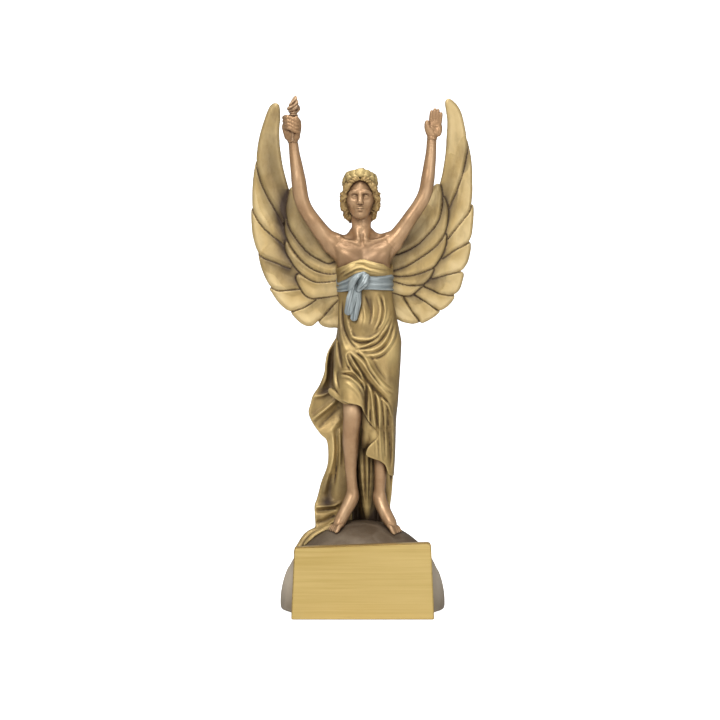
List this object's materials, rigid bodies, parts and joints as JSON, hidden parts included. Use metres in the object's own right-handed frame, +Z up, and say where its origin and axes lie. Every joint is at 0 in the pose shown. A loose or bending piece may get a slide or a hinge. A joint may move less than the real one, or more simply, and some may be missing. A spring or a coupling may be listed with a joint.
{
  "type": "figure trophy",
  "caption": "Winged victory figure with raised torch and laurel wreath on a half-globe base with a blank engraving plaque.",
  "frame": {"origin": "middle of the half-globe's resting face, on the surface it stands on", "axes": "+Z up, figure and plaque face -Y, the torch is on the -X side"},
  "size_m": [0.1306, 0.0965, 0.3],
  "materials": {
    "felt": "dark green-black wool felt",
    "adhesive": "thin clear glue sheet",
    "plate_gold": "fine horizontal brushed gold",
    "plaque_edge": "satin gold with a dark edge",
    "steel": "zinc-plated steel",
    "dome_bronze": "dark grey-brown satin bronze paint on cast resin, rubbed lighter on top",
    "antique_gold": "antique gold paint on cast resin, dark in the folds",
    "bronze_skin": "warm copper-bronze paint on cast resin, polished on the high spots",
    "hair_gold": "gold paint rubbed over dark brown on cast resin",
    "wreath_gold": "gold paint on cast resin with dark veins",
    "torch_bronze": "bronze paint on cast resin",
    "sash_silver": "blue-grey pewter paint on cast resin",
    "wing_gold": "light antique gold paint on cast resin with umber grooves"
  },
  "bodies": {
    "root": {"felt_pad": "felt", "plate_adhesive": "adhesive", "engraving_plate": "plate_gold", "plaque_pins": "steel", "base_dome": "dome_bronze", "plaque_block": "plaque_edge", "fixing_stud": "steel", "stud_washer": "steel", "stud_nut": "steel", "back_drape": "antique_gold", "train": "antique_gold", "right_leg": "bronze_skin", "left_leg": "bronze_skin", "right_arm": "bronze_skin", "left_arm": "bronze_skin", "head": "bronze_skin", "hair": "hair_gold", "laurel_wreath": "wreath_gold", "torch": "torch_bronze", "torch_flame": "torch_bronze", "right_hand": "bronze_skin", "left_hand": "bronze_skin", "sash_knot": "sash_silver", "sash_tails": "sash_silver", "right_wing": "wing_gold", "left_wing": "wing_gold", "upper_torso": "bronze_skin", "skirt": "antique_gold", "bodice": "antique_gold", "sash_band": "sash_silver", "skirt_fall": "antique_gold", "arm_dowels": "steel", "neck_dowel": "steel", "wing_dowels": "steel", "leg_dowels": "steel"}
  },
  "joints": []
}
